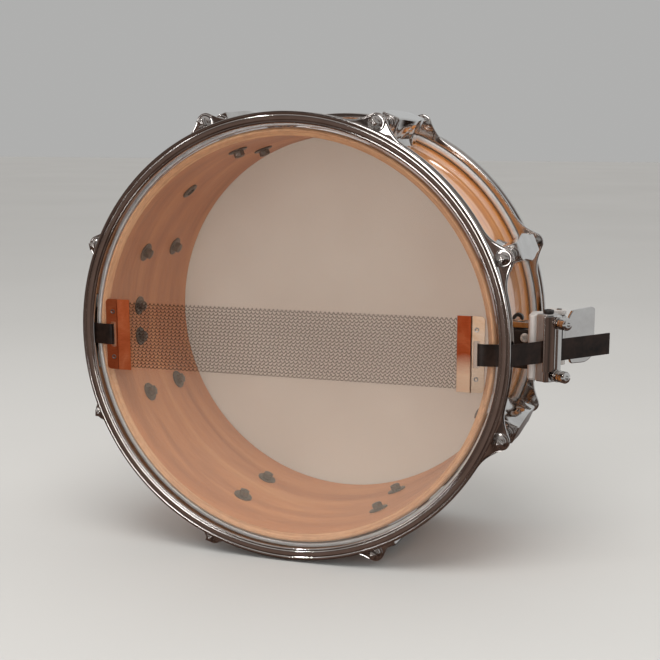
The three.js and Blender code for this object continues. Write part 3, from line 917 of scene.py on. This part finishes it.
near = [(162.2, 83.75), (162.25, 85.4), (163.1, 86.6), (168.6, 86.5), (176, 84.8)]
strainer_line = near + [(182, 84.15), (186.4, 84.1), (188.2, 83.3)]
strainer_line += [along_strap(along) for along in (-41, -20, 0, 20, 42, 64)]
strainer_strap = piece("strainer_strap_strip", strap_shape(strainer_line), NYLON, body=None,
                       replaces=["strainer_strap"], sharp=50)
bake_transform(strainer_strap)
butt_line = near + [(182, 84.15), (186.8, 84.1), (189.6, 82.9), (190.9, 80.2), (190.9, 60), (190.9, 30)]
piece("butt_strap_strip", mirrored(strap_shape(butt_line)), NYLON, replaces=["butt_strap"],
      sharp=50)


# ---- strainer ----
def strap_slab(outline, y0, y1):
    """An outline of places along and off the strap at the clamp, carried along y."""
    return slab([along_strap(along, outward) for along, outward in outline], y0, y1)


def square_to_strap(shape, y):
    """Turns a part drawn along z so that it stands on the strap's face at the clamp."""
    return aimed(shape, (CLAMP_X, y, CLAMP_Z), (-math.sin(STRAP_SLOPE), 0, math.cos(STRAP_SLOPE)))


def across(shape, x, z):
    """Turns a part drawn along z so that it lies along y at (x, z)."""
    return aimed(shape, (x, 0, z), (0, 1, 0))


def strainer_block():
    """The aluminium body: a front block beside the clamp, a rear block and two hinge ears."""
    right, left = along_strap(9, -10.4), along_strap(-9, -10.4)
    front = bevelled(slab([(196, 33), (208, 28), right, left, (196, 49.4)], -27.5, 27.5), 2.2, 5)
    rear = bevelled(slab([(190, -32), (207, -32), (207, 29), (196.2, 36), (190, 36)], -20.5, 10.8),
                    1.8, 4)
    ears = []
    for y0, y1 in ((-23.5, -19.6), (19.6, 23.5)):
        rim = arc(LEVER_X, LEVER_Z, 6, 6, -90, 90, 16)
        ears.append(bevelled(slab([(204, -19)] + rim + [(204, 5)], y0, y1), 0.6, 2))
    return joined(front, rear, *ears)


def strainer_foot():
    """The dark bracket that beds the strainer on the shell, with a hooked stop at its top."""
    seat = bevelled(slab([(177.2, -16), (190.5, -18), (190.5, 29), (195.8, 32), (195.8, 37.2),
                          (177.2, 34)], -21, 11.5), 1.6, 3)
    hook = arc(184.6, 20.6, 4.6, 4.4, 200, -20, 12) + arc(184.6, 20.6, 1.9, 1.5, -20, 200, 12)
    return joined(seat, bevelled(plate(hook, 27.5, 33), 0.5, 2))


def strainer_saddle():
    """The bright saddle between the dark bracket and the hooked stop."""
    return bevelled(slab([(177.4, 22), (195.6, 24), (195.6, 34.6), (177.4, 31.8)], 12.1, 18.4), 1.5, 4)


def cross_head(radius, height):
    """A pan head with a cross recess, drawn along z."""
    cap = turned([(radius, 0), (radius, height * 0.45), (radius * 0.93, height * 0.75),
                  (radius * 0.72, height * 0.95), (radius * 0.4, height), (0.2, height)])
    wide, narrow, depth = radius * 0.62, radius * 0.17, height * 0.6
    bars_cut = [block(-wide, wide, -narrow, narrow, height - depth, height + 1),
                block(-narrow, narrow, -wide, wide, height - depth, height + 1)]
    return carved(cap, *bars_cut)


piece("strainer_body", strainer_block(), ALUMINIUM, replaces=["strainer_base"])
piece("strainer_foot_bracket", strainer_foot(), PLASTIC)
piece("strainer_saddle", strainer_saddle(), CHROME)
foot_screw = aimed(cross_head(3.9, 2.4), (191.6, 5.2, 36.0), (0.05, 0.1, 1))
piece("strainer_foot_screw", foot_screw, ZINC)

carriage = bevelled(strap_slab([(-9, -10), (-5.2, -0.9), (8, -0.9), (8, -10)], -28, 28), 1.5, 4)
rails = [bevelled(strap_slab(oblong(-6.5, 5.5, -10.4, -8.6), y0, y1), 0.4, 2)
         for y0, y1 in ((-24, -15), (15, 24))]
piece("strainer_slide", joined(carriage, *rails), SATIN_CHROME, body="carriage",
      replaces=["strainer_carriage"])

bar_edge = [(-11, 0.9), (-10.9, 1.7), (-9.8, 3.2), (-7, 4.9), (-3.2, 6.2), (-2.2, 6.4), (-1.9, 5.7),
            (-1.1, 5.9), (-0.8, 6.8), (0.8, 7.2), (2.4, 7.2), (4.2, 6.3), (5.3, 4.4), (5.5, 0.9)]
low_edge = [(-10, 0.9), (-9.7, 2.2), (-8, 3.4), (-4, 4.4), (3, 4.4), (5.1, 3.2), (5.1, 0.9)]
bar = joined(bevelled(strap_slab(bar_edge, -18.2, 27), 0.9, angle=40),
             bevelled(strap_slab(low_edge, -27, -17.6), 0.7, angle=40))
teeth = [bevelled(strap_slab(oblong(6.0, 6.9, 1.2, 3.4), y - 0.55, y + 0.55), 0.2, 1)
         for y in np.arange(-9.6, 6.6, 2.0)]
piece("strainer_clamp_bar", joined(bar, *teeth), CHROME, body="carriage",
      replaces=["strainer_clamp_plate"])


def clamp_screw(y):
    """A slotted thumb screw with a groove round its head."""
    washer = ring(rounded(oblong(2.1, 5.3, 7.3, 8.2), 0.35, 3), 32)
    neck = turned([(3.4, 8.0), (3.4, 9.7), (3.1, 10.1)], 24)
    head = turned([(4.0, 9.6), (4.8, 10.2), (4.8, 12.2), (4.5, 12.5), (4.5, 13.2), (4.8, 13.5),
                   (4.8, 17.0), (4.4, 17.8), (3.5, 18.2), (1.9, 18.2), (1.8, 16.6), (0.2, 16.5)], 36)
    shank = turned([(1.6, -7), (1.9, -6.4), (1.9, 9.8)], 16)
    slot_cut = block(-0.65, 0.65, -6, 6, 16.4, 19)
    return square_to_strap(joined(washer, neck, carved(head, slot_cut), shank), y)


for side, y in (("upper", CLAMP_SCREW_OFFSET), ("lower", -CLAMP_SCREW_OFFSET)):
    name = f"strainer_clamp_screw_{side}"
    piece(f"clamp_screw_{side}", clamp_screw(y), CHROME, body=name, replaces=[name])

cap_x, cap_z = along_strap(0, -5.4)
cap = turned([(2.0, 25.2), (2.0, 28.2), (4.2, 28.3), (4.5, 28.8), (4.5, 30.2), (4.0, 30.9),
              (2.6, 31.2), (2.2, 30.6), (0.3, 30.5)])
piece("slide_stop_cap", across(cap, cap_x, cap_z), PLASTIC, body="carriage",
      replaces=["carriage_stop_cap"])


def lever_shape():
    """The throw-off lever: a shaped sheet, leaning as it rests, on a hub round its pin."""
    outline = [(2, 15.8), (9, 15.8), (10.4, 18.5), (12.5, 21.6), (14.5, 22.4), (32.5, 24)]
    outline += arc(33, 21, 3, 3, 75, 0, 6) + arc(24, -12, 12, 12, 0, -90, 11)
    outline += [(13.5, -24), (12.2, -23), (10.4, -18.5), (9, -15.8), (2, -15.8)]
    sheet = bevelled(plate(outline, -1.5, 1.5), 0.7, 3, angle=50)
    lean = Matrix.Translation((LEVER_X, 0, LEVER_Z)) @ Matrix.Rotation(math.radians(LEVER_REST), 4, "Y")
    hub = across(turned([(5.2, -19), (6, -18.4), (6, -15), (5.6, -14.4), (5.6, 14.4), (6, 15),
                         (6, 18.4), (5.2, 19)], 36), LEVER_X, LEVER_Z)
    return joined(moved(sheet, lean), hub)


piece("throw_off_lever", lever_shape(), CHROME, body="lever", replaces=["strainer_lever"])
piece("lever_hinge_pin", across(turned([(1.6, -24.6), (2.3, -24.1), (2.3, 24.1), (1.6, 24.6)], 24),
                                LEVER_X, LEVER_Z), STEEL, replaces=["lever_pin"])


KNOB_RADIUS, FLUTE_DEPTH, FLUTE_COUNT = 9, 0.9, 10


def knob_shape():
    """A fluted knob on a threaded stem."""
    angles = [2 * math.pi * i / 80 for i in range(80)]
    sections = []
    for z, share in ((-44, 0.86), (-43.6, 0.95), (-42.8, 1), (-34.4, 1), (-33.6, 0.95), (-33.2, 0.86)):
        reach = [(KNOB_RADIUS - FLUTE_DEPTH * max(0, math.cos(FLUTE_COUNT * a)) ** 4) * share
                 for a in angles]
        sections.append([(r * math.cos(a), r * math.sin(a), z) for r, a in zip(reach, angles)])
    stem = turned(threads(2.9, -34, -21, depth=0.35), 20)
    return moved(joined(lofted(sections), stem), Matrix.Translation((KNOB_X, 0, 0)))


piece("snare_tension_knob", knob_shape(), CHROME, body="tension_knob", replaces=["tension_knob"])

# ---- butt end ----
butt = bevelled(slab([(177.2, 6), (190, 8), (190, 52), (186, 56), (177.2, 56)], -24, 24), 1.8, 4)
piece("butt_end_body", mirrored(butt), CHROME, replaces=["butt_body"])
butt_bar = bevelled(block(191.8, 195.6, -24, 24, BUTT_LEVEL - 8, BUTT_LEVEL + 8), 1.1, 3)
piece("butt_end_bar", mirrored(butt_bar), CHROME, replaces=["butt_clamp_plate"])
for side, y in (("upper", BUTT_SCREW_OFFSET), ("lower", -BUTT_SCREW_OFFSET)):
    name = f"butt_clamp_screw_{side}"
    shank = turned([(1.9, -14), (1.9, 0.2)], 16)
    screw = aimed(joined(cross_head(4.2, 4.0), shank), (-195.9, y, BUTT_LEVEL), (-1, 0, 0))
    piece(f"butt_screw_head_{side}", screw, CHROME, body=name, replaces=[name])

# ---- the screws that hold the strainer and the butt end ----
for owner, angle, z in (("strainer", 0, 10), ("butt", 180, 22)):
    for side, y in (("upper", FIXING_SCREW_OFFSET), ("lower", -FIXING_SCREW_OFFSET)):
        name = f"{owner}_screw_{side}"
        lean = math.degrees(math.asin(y / SHELL_INNER))
        swing = lean if angle == 0 else 180 - lean
        piece(f"{owner}_inner_screw_{side}", on_wall(inside_screw(4.8, 8.4), swing, z), DARK_STEEL,
              replaces=[name])


# ---- stage, light and camera ----
def floor_material():
    """Plain pale floor with faint clouds of tone."""
    look = Look("pale_floor")
    cloud = look.noise(1.3)
    colour = look.ramp(cloud, (0.3, (0.475, 0.47, 0.46)), (0.7, (0.50, 0.495, 0.485)))
    matt = look.add("BsdfPrincipled", {
        "Base Color": colour, "Roughness": 0.85, "Specular IOR Level": 0.2})
    return look.finished(matt.outputs[0])


FLOOR_HALF = 12
floor_mesh = bpy.data.meshes.new("floor")
floor_corners = [(x * FLOOR_HALF, y * FLOOR_HALF, 0) for x, y in ((-1, -1), (1, -1), (1, 1), (-1, 1))]
floor_mesh.from_pydata(floor_corners, [], [(0, 1, 2, 3)])
floor_mesh.materials.append(floor_material())
floor = placed("floor", floor_mesh)
floor.location.z = CAD_BOX[0].z - 0.0003
floor.visible_glossy = False


def world():
    """A pale backdrop for the camera, soft daylight for surfaces and a dim room for metal to mirror."""
    made = bpy.data.worlds.new("studio")
    nodes = Nodes(made, "Generated")
    parts = nodes.add("SeparateXYZ", {0: nodes.coord})
    side = nodes.weighed(parts.outputs["X"], 0.45, parts.outputs["Y"])
    above = nodes.ranged(parts.outputs["Z"], -0.30, -0.20)
    behind = nodes.ranged(side, -0.04, 0.1)
    aloft = nodes.ranged(parts.outputs["Z"], 0.3, 0.75)
    dark = nodes.ramp(nodes.noise(4.0), (0.38, (0.014, 0.008, 0.006)), (0.68, (0.15, 0.092, 0.07)))
    near_wall = nodes.mixed(0.14, dark, (0.22, 0.18, 0.16))
    front = nodes.mixed(aloft, near_wall, (0.42, 0.39, 0.37))
    upper = nodes.mixed(behind, front, (0.53, 0.54, 0.54))
    seen = nodes.mixed(above, dark, upper)
    depth = nodes.ranged(parts.outputs["Y"], -0.5, 0.8, 0.50, 1.35)
    rays = nodes.add("LightPath")

    def sky(colour, strength):
        return nodes.add("Background", {"Color": colour, "Strength": strength}).outputs[0]

    lit = nodes.either(rays.outputs["Is Glossy Ray"], sky((1.0, 0.985, 0.96, 1), depth), sky(seen, 1.0))
    backdrop = sky((0.43, 0.43, 0.425, 1), 1.0)
    both = nodes.either(rays.outputs["Is Camera Ray"], lit, backdrop)
    nodes.add("OutputWorld", {"Surface": both})
    bpy.context.scene.world = made


world()


def softbox(name, position, size, power, colour, mirrored_in_metal=False):
    """A rectangular lamp at position that faces the drum's middle."""
    data = bpy.data.lights.new(name, "AREA")
    data.shape = "RECTANGLE"
    data.size, data.size_y = size
    data.energy = power
    data.color = colour
    lamp = placed(name, data)
    lamp.location = position
    aim = Vector(CENTRE) - Vector(position)
    lamp.rotation_euler = aim.to_track_quat("-Z", "Y").to_euler()
    lamp.visible_glossy = mirrored_in_metal


softbox("overhead", (0.2, -0.95, 2.0), (1.4, 1.0), 28.5, (1.0, 0.97, 0.93))
softbox("near_panel", (-0.18, -1.75, 0.40), (0.34, 0.8), 6.1, (1.0, 0.97, 0.95), True)
softbox("cool_window", (0.8, -1.5, 1.1), (0.8, 0.8), 5, (0.78, 0.95, 1.0))
softbox("left_strip", (-1.5, -1.1, 0.9), (0.10, 1.0), 1.6, (1.0, 0.98, 0.97), True)
softbox("sparkle", (-0.9, -1.2, 1.7), (0.10, 0.10), 2.0, (1.0, 0.98, 0.96), True)

camera_data = bpy.data.cameras.new("camera")
camera_data.lens = 67.4
camera_data.sensor_width = 36
camera_data.shift_x = -0.0203
camera_data.shift_y = 0.0325
camera_data.clip_start = 0.05
camera = placed("camera", camera_data)
camera.location = (0.33165, -1.03910, 0.36869)
yaw, pitch = math.radians(-17.92), math.radians(-10.37)
ahead = Vector((math.sin(yaw) * math.cos(pitch), math.cos(yaw) * math.cos(pitch), math.sin(pitch)))
camera.rotation_euler = ahead.to_track_quat("-Z", "Y").to_euler()
bpy.context.scene.camera = camera
bpy.context.scene.view_settings.view_transform = "Standard"
